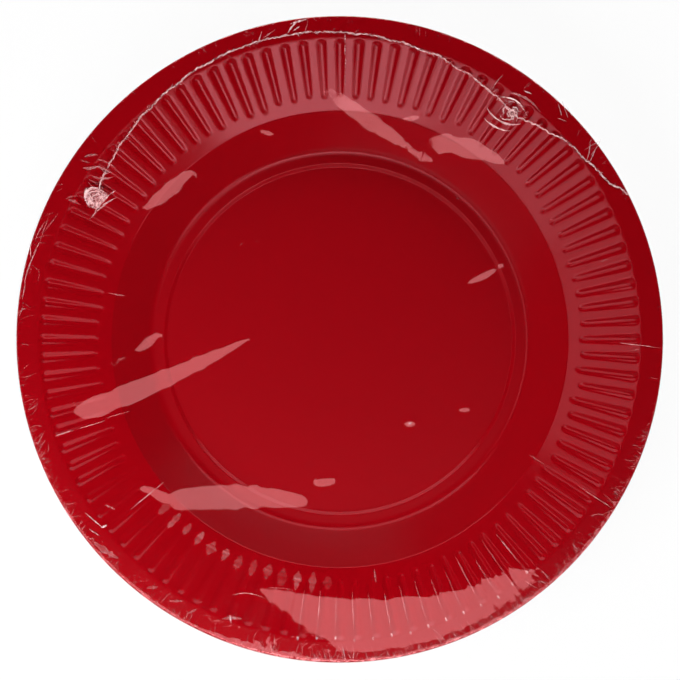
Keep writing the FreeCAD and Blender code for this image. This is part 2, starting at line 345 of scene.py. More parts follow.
def plate_angles(sizes, samples):
    """Angles round the plate, closer together inside each flute than between two."""
    within = (np.arange(samples) + 0.5) / samples - 0.5
    within = within * (0.75 + within * within)
    pitch = 2 * pi / sizes.flute_count
    return ((np.arange(sizes.flute_count)[:, None] + within) * pitch).ravel()


def spread(*stretches):
    """Radii from stretches (start, end, steps), each without its own end."""
    parts = [np.linspace(first, last, steps, endpoint=False) for first, last, steps in stretches]
    return np.concatenate(parts)


def build_plate(name, node, sizes, materials, fine):
    """One pressed plate: its eating side, its cut edge and its underside as one closed skin. Its
    rings lie close together in each bend and far apart between two."""
    low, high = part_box(node)
    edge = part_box(FILM_NODE)[1][0] - sizes.edge_gap
    rise = high[2] - low[2] - sizes.board
    share = 1 if fine else 0.5
    first_ring = 12 * MM
    floor_end, ledge_start = sizes.floor_radius - 1.4 * MM, sizes.ledge_radius + 1.2 * MM
    step_start, step_end = sizes.floor_radius - 0.2 * MM, sizes.ledge_radius + 0.2 * MM
    foot_start, foot_end = sizes.foot_radius - 2.3 * MM, sizes.foot_radius + 2.3 * MM
    brow_start, brow_end = sizes.brow_radius - 1.1 * MM, sizes.brow_radius + 1.1 * MM
    tips_start, tips_end = sizes.flute_start - 0.6 * MM, sizes.flute_start + 3 * MM
    lip_start, lip_end = sizes.lip_radius - 4 * MM, sizes.lip_radius + 0.8 * MM
    radii = spread(
        (first_ring, floor_end, 4),
        (floor_end, step_start, 2),
        (step_start, step_end, int(12 * share)),
        (step_end, ledge_start, 2),
        (ledge_start, foot_start, 1),
        (foot_start, foot_end, int(10 * share)),
        (foot_end, brow_start, 2),
        (brow_start, brow_end, int(8 * share)),
        (brow_end, tips_start, 2),
        (tips_start, tips_end, int(8 * share)),
        (tips_end, lip_start, int(6 * share)),
        (lip_start, lip_end, int(12 * share)),
        (lip_end, edge, 2),
    )
    radii = np.append(radii, edge)
    backs = radii if not fine else radii[::2][: len(radii) // 2]
    if backs[-1] != edge:
        backs = np.append(backs, edge)
    angles = plate_angles(sizes, 12 if fine else 8)
    rows = np.concatenate((radii, backs[::-1]))
    under, slope = plate_profile(rows, sizes, edge, rise)
    lift = np.where(np.arange(len(rows)) < len(radii), sizes.board * np.hypot(1, slope), 0)
    grid_radius = np.repeat(rows[:, None], len(angles), axis=1)
    height = low[2] + (under + lift)[:, None] - flute_depth(grid_radius, angles[None, :], sizes)
    height = np.maximum(height, low[2])
    bands = np.where(np.arange(len(rows)) < len(radii), 0, 1)
    return closed_skin(name, grid_radius, height, angles, bands, materials)


# Film

# Start, end, half width and bow in millimetres, and how blunt the two ends are.
FOLDS = (
    ((-93.4, -26.6), (-31.2, 0.8), 3.5, 1.0, 0.25, 0.75),
    ((-71.3, -52.4), (-60.6, -57.6), 1.5, -0.5, 0.7, 0.2),
    ((-60.4, -57.4), (-11.6, -57.7), 3.8, -1.5, 0.22, 0.4),
    ((-5.2, 89.4), (24.5, 68.6), 3.6, 0.6, 0.35, 0.45),
    ((22.4, 69.3), (33.6, 62.8), 1.9, 0.3, 0.4, 0.3),
    ((30.6, 70.2), (60.6, 61.4), 4.0, -2.2, 0.35, 0.8),
    ((-69.8, 45.9), (-52.3, 60.6), 3.1, 0.5, 0.5, 0.4),
    ((21.2, 77.9), (29.4, 79.6), 1.6, 0.0, 0.5, 0.5),
    ((-29.4, 74.8), (-22.7, 72.3), 1.1, 0.0, 0.5, 0.5),
    ((45.0, 19.7), (55.4, 24.9), 1.2, 0.3, 0.6, 0.4),
    ((55.9, 26.0), (58.8, 26.4), 0.9, 0.0, 0.4, 0.4),
    ((-72.8, -4.7), (-64.2, 2.5), 2.0, 0.4, 0.5, 0.25),
    ((-80.8, -10.0), (-76.4, -5.6), 1.5, 0.0, 0.4, 0.4),
    ((-9.1, -51.0), (-1.4, -50.2), 1.2, 0.3, 0.25, 0.5),
    ((22.9, -30.5), (26.8, -29.8), 0.8, 0.0, 0.5, 0.5),
    ((42.4, -25.5), (46.5, -24.8), 0.7, 0.0, 0.5, 0.5),
)


def fold_height(x, y, start, end, half_width, bow, blunt_start, blunt_end, tilt):
    """Height of one fold. Inside its leaf-shaped outline the film is a plane that leans by tilt
    across the axis, and outside it the height dies away as a bell curve, to a third of itself
    2.2 half widths out."""
    start = np.array(start) * MM
    end = np.array(end) * MM
    length = np.hypot(*(end - start))
    run = (end - start) / length
    along = ((x - start[0]) * run[0] + (y - start[1]) * run[1]) / length
    inside = np.clip(along, 1e-4, 1 - 1e-4)
    over = (x - start[0]) * run[1] - (y - start[1]) * run[0]
    over = over - bow * MM * 4 * inside * (1 - inside)
    peak = blunt_start / (blunt_start + blunt_end)
    scale = peak ** blunt_start * (1 - peak) ** blunt_end
    shape = inside ** blunt_start * (1 - inside) ** blunt_end / scale
    ragged = 1 + 0.12 * wander(inside * length, 0, 7 * MM, int(abs(start[0]) * 1e6) % 997)
    half = half_width * MM * shape * ragged * (along > 0) * (along < 1)
    beyond = np.maximum(np.abs(over) - half, 0)
    level = np.clip(over, -half, half) * np.exp(-((beyond / (2.2 * half_width * MM)) ** 2))
    return -tan(tilt) * level


def film_relief(radius, angles, sizes):
    """Height of the film's top above its drawn-tight level, from its folds, the lean over the
    lower rim, the roll along the lower edge, the ripples round the two gathered corners and a
    faint unevenness."""
    x = radius * np.cos(angles)
    y = radius * np.sin(angles)
    relief = sum(fold_height(x, y, *fold, sizes.fold_tilt) for fold in FOLDS)
    relief = relief + 0.02 * MM * wander(x, y, 16 * MM, 5)
    relief = relief * (1 - ramp(radius, 105 * MM, 5 * MM))
    relief = relief + lower_rim_lean(radius, angles, sizes) + corner_ripples(x, y)
    return relief + edge_roll(radius, angles)


# The film's lean over the lower rim: angle in degrees, inner and outer radius in millimetres.
LEAN_OUTLINE = (
    (251.5, 92.9, 92.9), (255.0, 92.4, 95.2), (258.9, 91.9, 98.2), (262.0, 91.8, 101.5),
    (268.2, 91.7, 107.0), (270.5, 92.0, 110.6), (282.0, 94.4, 111.8), (291.5, 97.4, 112.2),
    (298.9, 99.4, 112.0), (306.4, 102.0, 110.8), (312.4, 107.2, 107.2),
)


def lower_rim_lean(radius, angles, sizes):
    """Over the lower rim the film leans outward: its height falls at the rim tilt from an inner to
    an outer radius, both ragged, and rises to it from further in."""
    turn = np.degrees(angles) % 360
    corner, inner, outer = np.array(LEAN_OUTLINE).T
    inner = np.interp(turn, corner, inner) * MM
    outer = np.interp(turn, corner, outer) * MM
    open_share = np.clip((outer - inner) / (5 * MM), 0, 1)
    around = angles * 100 * MM
    outer = outer + open_share * MM * (0.7 * wander(around, 0, 5 * MM, 21)
                                       + 1.0 * wander(around, 0, 1.7 * MM, 22))
    inner = inner + open_share * 0.45 * MM * wander(around, 0, 9 * MM, 23)
    lean = tan(sizes.rim_tilt) * (outer - np.clip(radius, inner, outer))
    return np.maximum(lean, 0) * ramp(radius, inner - 7 * MM, 14 * MM)


def edge_roll(radius, angles):
    """Along the lower edge the film rolls over: it rises to a crest near the edge and leans
    outward beyond it. The crest is furthest in, and most ragged, left of the middle."""
    off = (angles - radians(272) + pi) % (2 * pi) - pi
    sector = 1 - ramp(np.abs(off), radians(62), radians(30))
    around = angles * 100 * MM
    gather = np.exp(-((off + radians(17)) / radians(7)) ** 2)
    reach = 1.3 * MM + gather * (3.0 + 0.9 * wander(around, 0, 1.8 * MM, 25)) * MM
    reach = reach * np.clip(0.9 + 0.35 * wander(around, 0, 3 * MM, 24), 0.4, 1.5)
    crest = ROLL_RADIUS - reach
    rise = ramp(radius, crest - 0.6 * MM, 1.2 * MM)
    fall = 1 - np.clip((radius - crest) / reach, 0, 1)
    return 0.10 * reach * sector * rise * fall


def corner_ripples(x, y):
    """Rings of ripples that die away from each gathered corner of the film, drawn out along the
    seam round the right one. A corner has its middle, the heading and stretch of its rings, the
    first ring's radius and the ripples' height, in degrees and millimetres."""
    total = 0
    wavelength, fade = 2.6, 3.2
    for (middle_x, middle_y), heading, stretch, first, height in (
        (LEFT_SPOT, 55, 1.15, 5.0, 0.10), (RIGHT_SPOT, -32, 1.7, 3.2, 0.12),
    ):
        along = (x / MM - middle_x) * cos(radians(heading)) + (y / MM - middle_y) * sin(radians(heading))
        over = (y / MM - middle_y) * cos(radians(heading)) - (x / MM - middle_x) * sin(radians(heading))
        away = np.hypot(along / stretch, over)
        wave = np.cos((away - first) * 2 * pi / wavelength) * 0.5 + 0.5
        total = total + height * MM * wave * np.exp(-((away - first) / fade) ** 2)
    return total


def film_levels(film_box):
    """The heights that the film is drawn between, from its own box and the plates' boxes: its
    drawn-tight top, the top of the lowest plate's lip, and the surface it stands on."""
    plate_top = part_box(PLATE_NODES[-1])[1][2]
    low_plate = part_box(PLATE_NODES[0])
    gauge = low_plate[0][2] - film_box[0][2]
    return plate_top + gauge, low_plate[1][2], film_box[0][2]


def build_film(sizes, plate, material):
    """The film as one closed skin: the top with its relief, the side, the taut cone under the rim
    with its pleats, and the flat underside."""
    film_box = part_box(FILM_NODE)
    top, lip_top, ground = film_levels(film_box)
    lip = lip_top - plate.board
    edge = film_box[1][0]
    turns = 680
    angles = np.arange(turns) * 2 * pi / turns
    top_radii = spread((0.9 * MM, 112.4 * MM, 116), (112.4 * MM, edge - 0.12 * MM, 5))
    bend = np.array((0.12, 0.05, 0.0)) * MM
    bend_drop = np.array((0.02, 0.08, 0.2)) * MM
    side = np.linspace(top - 0.4 * MM, lip, 4)
    foot = plate.foot_radius
    cone = np.linspace(edge - 0.5 * MM, foot, 11)
    under = np.array((plate.floor_radius + 0.4 * MM, plate.floor_radius - 0.5 * MM, 30 * MM, 2 * MM))
    rows = np.concatenate((top_radii, edge - bend, np.full(len(side), edge), cone, under))
    radius = np.repeat(rows[:, None], turns, axis=1)
    height = np.empty_like(radius)
    first = len(top_radii)
    height[:first] = top + film_relief(radius[:first], angles[None, :], sizes)
    pucker = 0.5 + 0.5 * wander(angles * edge, 0, 2.4 * MM, 31)
    fringe = ramp(rows[:first], 112 * MM, 4 * MM)[:, None]
    height[:first] += 0.06 * MM * fringe * np.clip(pucker, 0, 1)
    side_from = first + len(bend)
    cone_from = side_from + len(side)
    cone_to = cone_from + len(cone)
    height[first:side_from] = top - bend_drop[:, None]
    height[side_from:cone_from] = side[:, None]
    radius[first + 1:cone_from] -= 0.10 * MM * np.clip(pucker, 0, 1)
    share = (cone - foot) / (edge - foot)
    ledge = 0.5 * MM
    height[cone_from:cone_to] = (ground + ledge + (lip - ground - ledge) * share)[:, None]
    pleat = wander(angles * edge, 0, 7 * MM, 33) + 0.5 * wander(angles * edge, 0, 2.6 * MM, 34)
    taut = np.sin(share * pi)[:, None]
    height[cone_from:cone_to] += 0.22 * MM * taut * pleat
    under_rise = np.array((0.12, 0, 0, 0)) * MM
    height[cone_to:] = ground + under_rise[:, None]
    bands = np.zeros(len(rows), int)
    return closed_skin("film_wrap", radius, height, angles, bands, (material,))


def arc_points(start, end, arc_radius, stations):
    """Points on the arc of that radius from start to end, bulging to the left of the way there as
    seen from above."""
    start, end = np.array(start), np.array(end)
    middle = (start + end) / 2
    gap = end - start
    length = np.hypot(*gap)
    left = np.array((-gap[1], gap[0])) / length
    centre = middle - left * np.sqrt(arc_radius ** 2 - (length / 2) ** 2)
    first = np.arctan2(*(start - centre)[::-1])
    last = np.arctan2(*(end - centre)[::-1])
    turn = np.linspace(first, last, stations)
    return centre[0] + arc_radius * np.cos(turn), centre[1] + arc_radius * np.sin(turn)


def seam_line(sizes, stations):
    """The seam's line on the film: the long arc between the two gathered corners and its tail to
    the edge, with the small wander of a melted edge."""
    long_x, long_y = arc_points(LEFT_CORNER, RIGHT_CORNER, sizes.seal_radius, stations * 4 // 5)
    tail_x, tail_y = arc_points(RIGHT_CORNER, TAIL_END, sizes.tail_radius, stations // 5 + 1)
    x = np.concatenate((long_x, tail_x[1:]))
    y = np.concatenate((long_y, tail_y[1:]))
    gone = np.concatenate(([0], np.cumsum(np.hypot(np.diff(x), np.diff(y)))))
    even = np.linspace(0, gone[-1], stations)
    x = np.interp(even, gone, x)
    y = np.interp(even, gone, y)
    sway = 0.28 * MM * wander(even, 0, 9 * MM, 41) + 0.10 * MM * wander(even, 0, 2.2 * MM, 42)
    on_tail = ramp(even, even[-1] - 38 * MM, 12 * MM) * (1 - ramp(even, even[-1] - 4 * MM, 6 * MM))
    sway = sway + 1.1 * MM * on_tail * np.sin((even - even[-1]) / (6.6 * MM))
    ease = np.minimum(1, np.minimum(even, even[-1] - even) / (2 * MM))
    across_x, across_y = -np.gradient(y), np.gradient(x)
    size = np.hypot(across_x, across_y)
    return x + sway * ease * across_x / size, y + sway * ease * across_y / size, even


def build_seam(sizes, top, material):
    """The heat-sealed seam: three melted strands that wind round each other in step, each thicker
    and thinner along the way."""
    stations = 1150
    x, y, gone = seam_line(sizes, stations)
    across_x, across_y = -np.gradient(y), np.gradient(x)
    size = np.hypot(across_x, across_y)
    strands = 3
    twist, reach = 2.9 * MM, 0.20 * MM
    paths = np.empty((strands, stations, 3))
    width = np.empty((strands, stations))
    frost = np.empty((strands, stations))
    for strand in range(strands):
        phase = 2 * pi * gone / twist + 2 * pi * strand / strands
        phase = phase + 0.8 * wander(gone, 0, 8 * MM, 50 + strand)
        swing = reach * np.sin(phase)
        paths[strand, :, 0] = x + swing * across_x / size
        paths[strand, :, 1] = y + swing * across_y / size
        paths[strand, :, 2] = top + 0.10 * MM + 0.10 * MM * np.cos(phase)
        swell = 1 + 0.35 * wander(gone, 0, 3.1 * MM, 60 + strand)
        width[strand] = sizes.strand * np.clip(swell, 0.35, 2)
        frost[strand] = np.clip(0.42 + 0.3 * wander(gone, 0, 3 * MM, 70 + strand), 0.10, 1)
    ends = np.minimum(1, np.minimum(gone, gone[-1] - gone) / (0.8 * MM))
    width *= np.maximum(ends, 0.05)
    return beads("film_seam", paths, width, width * 0.9, frost, material)


def stroke_paths(starts, ends, bows, stations, base):
    """Paths from starts to ends, bowed sideways by bows as a parabola, at the height base."""
    t = np.linspace(0, 1, stations)
    gap = ends - starts
    left = np.stack((-gap[:, 1], gap[:, 0]), axis=-1)
    left /= np.maximum(np.linalg.norm(left, axis=1, keepdims=True), 1e-9)
    flat = starts[:, None, :] + gap[:, None, :] * t[None, :, None]
    flat = flat + left[:, None, :] * (bows[:, None] * 4 * t * (1 - t))[..., None]
    height = np.full(flat.shape[:2] + (1,), base)
    return np.concatenate((flat, height), axis=-1), t


def build_strokes(name, rows, top, material, stations=9, sway=0.0, seed=0):
    """Creases in the film as slender beads, no higher than the crease height. A row holds its
    start and end in metres, its bow, its half width and its frost. Each swells in its middle and
    wavers by sway."""
    rows = np.asarray(rows, float)
    starts, ends = rows[:, 0:2], rows[:, 2:4]
    paths, t = stroke_paths(starts, ends, rows[:, 4], stations, top)
    draw = np.random.default_rng(seed)
    paths[..., :2] += draw.normal(0, 1, paths[..., :2].shape) * sway
    swell = np.sin(pi * np.clip(t, 0.03, 0.97)) ** 0.7
    uneven = np.clip(draw.normal(1, 0.25, paths.shape[:2]), 0.3, 1.8)
    width = rows[:, 5:6] * swell * uneven
    frost = np.clip(rows[:, 6:7] * draw.normal(1, 0.2, paths.shape[:2]), 0, 1)
    height = np.minimum(width * 0.7, CREASE_HEIGHT)
    return beads(name, paths, width, height, frost, material)


def photo_strokes(*strokes):
    """Rows for build_strokes from places in the photograph: start column and row, end column and
    row, bow in pixels, half width in millimetres, frost."""
    table = np.array(strokes, float)
    start_x, start_y = photo_place(table[:, 0], table[:, 1])
    end_x, end_y = photo_place(table[:, 2], table[:, 3])
    return np.column_stack(
        (start_x, start_y, end_x, end_y, table[:, 4] * PHOTO_PIXEL, table[:, 5] * MM, table[:, 6])
    )


def seam_spikes(sizes):
    """Rows for the small side creases that stand off the seam, thicker near its corners."""
    x, y, gone = seam_line(sizes, 900)
    draw = np.random.default_rng(81)
    right_share = 0.78
    near_right = np.abs(gone - right_share * gone[-1])
    chance = 0.16 + 0.6 * np.exp(-gone / (9 * MM)) + 0.5 * np.exp(-near_right / (6 * MM))
    at = np.flatnonzero(draw.random(len(gone)) < chance)
    heading = np.arctan2(np.gradient(y)[at], np.gradient(x)[at])
    side = draw.choice((-1, 1), len(at))
    lean = heading + side * draw.uniform(0.5, 1.5, len(at))
    length = draw.gamma(2.0, 0.45, len(at)) * MM * (1 + 1.2 * (chance[at] > 0.4))
    end_x = x[at] + length * np.cos(lean)
    end_y = y[at] + length * np.sin(lean)
    bow = draw.normal(0, 0.1, len(at)) * length
    width = draw.uniform(0.05, 0.11, len(at)) * MM
    frost = draw.uniform(0.15, 0.6, len(at))
    return np.column_stack((x[at], y[at], end_x, end_y, bow, width, frost))


# Sectors of the edge: first and last angle in degrees, crinkles, and their length in millimetres.
FRINGE_SECTORS = (
    (148, 196, 46, 3.0), (196, 252, 230, 2.0), (252, 308, 420, 2.6),
    (308, 345, 190, 2.2), (345, 508, 60, 1.8),
)


def rim_fringe(edge):
    """Rows for the fine crinkles along the edge, dense in the sectors where the film is drawn in
    most."""
    draw = np.random.default_rng(91)
    rows = []
    for first, last, count, reach in FRINGE_SECTORS:
        turn = np.radians(draw.uniform(first, last, count))
        outer = edge - draw.uniform(0.15, 1.6, count) * MM
        length = draw.gamma(2.0, reach / 2.4, count) * MM
        lean = draw.normal(0.25, 0.45, count)
        x, y = outer * np.cos(turn), outer * np.sin(turn)
        end_x = x - length * np.cos(turn + lean)
        end_y = y - length * np.sin(turn + lean)
        bow = draw.normal(0, 0.12, count) * length
        width = draw.uniform(0.03, 0.09, count) * MM
        frost = draw.uniform(0.08, 0.42, count)
        rows.append(np.column_stack((x, y, end_x, end_y, bow, width, frost)))
    return np.concatenate(rows)


def crease_rows():
    """Rows for the creases that lie where the photograph shows them."""
    return photo_strokes(
        # Leaf-shaped crinkles above the left corner, and the two arcs below it
        (84, 157, 98, 155, 1, 0.35, 0.30), (83, 168, 100, 166, -1, 0.40, 0.28),
        (95, 166, 108, 172, 1, 0.30, 0.30), (92, 176, 113, 177, -2, 0.40, 0.26),
        (80, 160, 90, 163, 0, 0.20, 0.25), (97, 159, 116, 168, 1, 0.18, 0.30),
        (115, 191, 95, 212, -2, 0.42, 0.50), (117, 197, 90, 219, -2, 0.38, 0.42),
        (68, 200, 80, 205, 1, 0.45, 0.22), (66, 199, 78, 196, 1, 0.25, 0.18),
        # Ovals and wisps round the right corner
        (484, 118, 510, 131, -3, 0.28, 0.75), (490, 112, 521, 124, -5, 0.26, 0.65),
        (487, 107, 500, 121, -2, 0.20, 0.55), (500, 97, 523, 107, 3, 0.26, 0.85),
        (505, 101, 527, 116, 5, 0.16, 0.45), (510, 93, 534, 104, 2, 0.42, 0.28),
        (520, 96, 540, 112, 2, 0.30, 0.24), (492, 90, 503, 75, 1, 0.12, 0.50),
        (524, 91, 532, 94, 0, 0.18, 0.70), (496, 118, 516, 125, -3, 0.14, 0.50),
        # Dashed creases across the rim
        (345, 33, 345, 43, 0, 0.14, 0.55), (345, 45, 345, 55, 0, 0.16, 0.50),
        (346, 58, 345, 68, 0, 0.12, 0.45), (345, 71, 345, 88, 0, 0.12, 0.35),
        (55, 436, 74, 430, 0, 0.16, 0.45), (78, 429, 104, 421, 0, 0.14, 0.40),
        (108, 293, 125, 296, 0, 0.12, 0.35), (106, 418, 130, 411, 0, 0.12, 0.30),
        (578, 486, 612, 508, 0, 0.16, 0.35), (530, 455, 545, 465, 0, 0.14, 0.25),
        (620, 343, 662, 348, 0, 0.14, 0.40), (630, 351, 640, 349, 0, 0.10, 0.30),
        # Nicks and small leaves along the lower left edge
        (85, 513, 103, 528, 0, 0.22, 0.42), (101, 528, 107, 525, 0, 0.30, 0.75),
        (89, 529, 100, 536, 0, 0.26, 0.30), (94, 542, 118, 558, -1, 0.95, 0.22),
        (105, 505, 115, 509, 0, 0.32, 0.24), (147, 588, 158, 587, 0, 0.55, 0.22),
        (169, 601, 183, 601, 0, 0.40, 0.22), (187, 614, 197, 609, 0, 0.42, 0.22),
        (222, 619, 242, 619, 1, 0.55, 0.24), (230, 615, 231, 623, 0, 0.20, 0.75),
        (164, 482, 131, 509, 0, 0.10, 0.50), (233, 595, 264, 598, 3, 0.14, 0.42),
        # White wisps on the upper edge
        (258, 43, 262, 31, 0, 0.14, 0.60), (263, 38, 275, 30, 0, 0.20, 0.35),
        (288, 33, 297, 22, 1, 0.25, 0.75), (290, 24, 307, 19, 0, 0.30, 0.60),
        (293, 31, 300, 26, 0, 0.22, 0.60), (305, 33, 308, 20, 0, 0.10, 0.35),
        # Scratches by the right edge
        (558, 103, 562, 117, 0, 0.09, 0.55), (562, 101, 568, 118, 0, 0.09, 0.50),
        (557, 118, 566, 121, 0, 0.08, 0.60), (566, 106, 573, 117, 0, 0.07, 0.40),
        (590, 142, 586, 162, 1, 0.12, 0.60), (597, 146, 589, 164, 0, 0.14, 0.50),
        (584, 150, 599, 141, 0, 0.08, 0.45), (601, 139, 590, 156, 1, 0.08, 0.40),
        # Hairs on the left edge
        (24, 286, 37, 250, 2, 0.12, 0.50), (28, 270, 41, 240, 1, 0.12, 0.45),
        (31, 258, 30, 244, 0, 0.16, 0.60), (35, 241, 45, 222, 1, 0.10, 0.45),
        (40, 240, 49, 216, 0, 0.10, 0.35), (22, 300, 26, 281, 0, 0.12, 0.40),
        (44, 232, 58, 214, 0, 0.10, 0.30), (19, 318, 24, 304, 0, 0.10, 0.40),
        # Scattered pricks over the flat floor
        (184, 452, 189, 486, 2, 0.06, 0.16), (240, 245, 243, 243, 0, 0.10, 0.20),
        (255, 241, 259, 242, 0, 0.10, 0.18), (408, 424, 412, 423, 0, 0.30, 0.55),
        (268, 588, 292, 590, 1, 0.10, 0.30), (374, 569, 376, 583, 0, 0.30, 0.25),
        (456, 199, 459, 198, 0, 0.12, 0.25), (600, 262, 608, 259, 0, 0.10, 0.35),
    )


def lower_flute_glint_rows(sizes):
    """Rows for painted highlights where the film lies on the lower flutes: milky strokes put where it
    glints, short ones on the inner ends at the left, and hairlines with a bright dot on the outer
    ends from the middle to the right."""
    draw = np.random.default_rng(95)
    pitch = 360 / sizes.flute_count
    rows = []
    for turn in np.arange(224, 270, pitch):
        start, end = draw.normal(84.2, 0.5), draw.normal(89.6, 0.8)
        rows.append((turn, start, end, draw.uniform(1.2, 1.6), draw.uniform(0.08, 0.18)))
    for turn in np.arange(262, 312, pitch):
        start, end = draw.normal(88.5, 1.5), draw.normal(103.0, 1.0)
        dot = 106.0 + draw.normal(0, 0.4)
        rows.append((turn, start, end, draw.uniform(0.10, 0.20), draw.uniform(0.18, 0.36)))
        rows.append((turn, dot, dot + 1.4, 0.34, draw.uniform(0.35, 0.70)))
    turn, start, end, width, frost = np.array(rows).T
    turn = np.radians(turn)
    return np.column_stack((
        start * MM * np.cos(turn), start * MM * np.sin(turn), end * MM * np.cos(turn),
        end * MM * np.sin(turn), np.zeros(len(turn)), width * MM, frost,
    ))


# Curls round the two corners: the centre's offset and the radius in millimetres, the first angle
# and the sweep in degrees, the half width in millimetres and the frost.
LEFT_CURLS = (
    (0.0, 0.0, 3.6, 100, 130, 0.40, 0.95), (-0.3, 0.4, 3.0, 60, 110, 0.30, 0.7),
    (0.4, -0.2, 1.6, -60, 150, 0.28, 0.7), (-0.6, -1.0, 1.3, 150, 140, 0.30, 0.8),
    (-1.4, 1.6, 1.2, 80, 150, 0.34, 0.9),
)
RIGHT_CURLS = (
    (0.0, 0.0, 1.1, 0, 160, 0.34, 1.0), (0.2, -0.2, 1.0, 170, 150, 0.32, 1.0),
    (-1.6, 0.8, 1.6, 100, 120, 0.20, 0.7), (-2.2, -0.4, 2.0, 190, 110, 0.18, 0.7),
    (0.5, 0.4, 1.7, 10, 100, 0.22, 0.7), (-1.0, -0.8, 1.6, 220, 120, 0.20, 0.75),
)


def arc_rows(middle, arcs):
    """Rows for curls round a corner's middle. An arc's bow is what its chord leaves of the
    circle."""
    rows = []
    for off_x, off_y, radius, first, sweep, width, frost in arcs:
        a, b = radians(first), radians(first + sweep)
        start = (middle[0] + (off_x + radius * cos(a)) * MM, middle[1] + (off_y + radius * sin(a)) * MM)
        end = (middle[0] + (off_x + radius * cos(b)) * MM, middle[1] + (off_y + radius * sin(b)) * MM)
        bow = -radius * (1 - cos(radians(sweep) / 2)) * MM
        rows.append((*start, *end, bow, width * MM, frost))
    return rows


def build_knot(name, middle, span, rise, lobes, seed, top, material):
    """A gathered corner: a low crumpled dome on a polar grid. Its height is a dome times a ridged
    sum of waves that curl round its middle, and its frost follows the ridges."""
    rings, turns = 34, 150
    share = np.linspace(0.02, 1, rings)[:, None]
    angle = (np.arange(turns) * 2 * pi / turns)[None, :]
    outline = 1 + 0.16 * np.sin(lobes * angle + seed) + 0.10 * np.sin((lobes + 2) * angle + 2 * seed)
    radius = share * outline * span / 2
    x = radius * np.cos(angle)
    y = radius * np.sin(angle)
    curl = np.abs(np.sin(angle + share * 9.0 + 1.3 * wander(x, y, span * 0.5, seed)))
    ridge = 1 - np.minimum(1, np.abs(wander(x, y, span * 0.33, seed + 1)) * 1.3)
    crumple = 0.45 * ridge + 0.35 * (1 - curl) + 0.2
    dome = np.clip(1 - share ** 2, 0, 1) ** 0.6
    height = rise * dome * crumple
    points_radius = np.concatenate((radius, radius[::-1]))
    points_height = top + np.concatenate((height, np.full_like(height, -0.03 * MM)))
    bands = np.zeros(2 * rings, int)
    piece = closed_skin(name, points_radius, points_height, angle[0], bands, (material,))
    shift = np.zeros((len(piece.data.vertices), 3), np.float32)
    shift[:, 0] = middle[0]
    shift[:, 1] = middle[1]
    place = np.empty(len(piece.data.vertices) * 3, np.float32)
    piece.data.vertices.foreach_get("co", place)
    piece.data.vertices.foreach_set("co", place + shift.ravel())
    frost = np.clip(0.40 + 0.50 * (ridge ** 3) * dome ** 0.5 + 0.30 * (1 - curl) ** 3, 0, 1)
    frost = frost * (1 - ramp(np.broadcast_to(share, frost.shape), 0.94, 0.16))
    shade = np.concatenate((frost.ravel(), np.full(frost.size, 0.05), (0.5, 0.05)))
    layer = piece.data.attributes.new("frost", "FLOAT", "POINT")
    layer.data.foreach_set("value", shade.astype(np.float32))
    return piece


# Materials

class Signal:
    """A number that varies over a surface. Arithmetic on it adds Math nodes to its graph."""

    def __init__(self, graph, socket):
        self.graph = graph
        self.socket = socket

    def math(self, operation, first, second):
        """One Math node on two values."""
        made = self.graph.add("ShaderNodeMath", {"operation": operation}, {0: first, 1: second})
        return Signal(self.graph, made.outputs[0])

    def __add__(self, other):
        return self.math("ADD", self, other)

    __radd__ = __add__

    def __sub__(self, other):
        return self.math("SUBTRACT", self, other)

    def __rsub__(self, other):
        return self.math("SUBTRACT", other, self)

    def __mul__(self, other):
        return self.math("MULTIPLY", self, other)

    __rmul__ = __mul__

    def __pow__(self, other):
        return self.math("POWER", self, other)

    def between(self, low, high):
        """0 at low, 1 at high, smooth between them."""
        settings = {"interpolation_type": "SMOOTHSTEP"}
        inputs = {"Value": self, "From Min": low, "From Max": high}
        made = self.graph.add("ShaderNodeMapRange", settings, inputs)
        return Signal(self.graph, made.outputs["Result"])


class Graph:
    """The nodes of one material."""

    def __init__(self, material):
        material.use_nodes = True
        self.nodes = material.node_tree.nodes
        self.links = material.node_tree.links
        self.nodes.clear()

    def add(self, kind, settings=None, inputs=None):
        """A node of that type, with its settings, then its sockets' values or links."""
        made = self.nodes.new(kind)
        for key, value in (settings or {}).items():
            setattr(made, key, value)
        for key, value in (inputs or {}).items():
            source = value.socket if isinstance(value, Signal) else value
            if isinstance(source, bpy.types.NodeSocket):
                self.links.new(source, made.inputs[key])
            else:
                made.inputs[key].default_value = source
        return made

    def place(self):
        """The point of the surface, in metres from the pack's origin."""
        return self.add("ShaderNodeTexCoord").outputs["Object"]

    def noise(self, scale, detail=3.0, roughness=0.5, vector=None):
        """Soft noise from 0 to 1, with that many features a metre."""
        inputs = {"Vector": vector or self.place(), "Scale": scale, "Detail": detail, "Roughness": roughness}
        return Signal(self, self.add("ShaderNodeTexNoise", None, inputs).outputs["Fac"])

    def stretched(self, scale):
        """The surface point with its axes stretched."""
        inputs = {"Vector": self.place(), "Scale": scale}
        return self.add("ShaderNodeMapping", None, inputs).outputs[0]

    def attribute(self, name):
        """A number kept at the mesh's points."""
        return Signal(self, self.add("ShaderNodeAttribute", {"attribute_name": name}).outputs["Fac"])

    def mix(self, factor, first, second):
        """A colour between two."""
        made = self.add("ShaderNodeMix", {"data_type": "RGBA"}, {"Factor": factor, "A": first, "B": second})
        return made.outputs[2]

    def bump(self, height, strength, distance):
        """A normal from a height."""
        inputs = {"Height": height, "Strength": strength, "Distance": distance}
        return self.add("ShaderNodeBump", None, inputs).outputs[0]

    def finish(self, shader):
        """Sends a shader to the surface."""
        self.add("ShaderNodeOutputMaterial", None, {"Surface": shader})


def opaque(colour):
    """A colour with full alpha."""
    return (colour[0], colour[1], colour[2], 1.0)


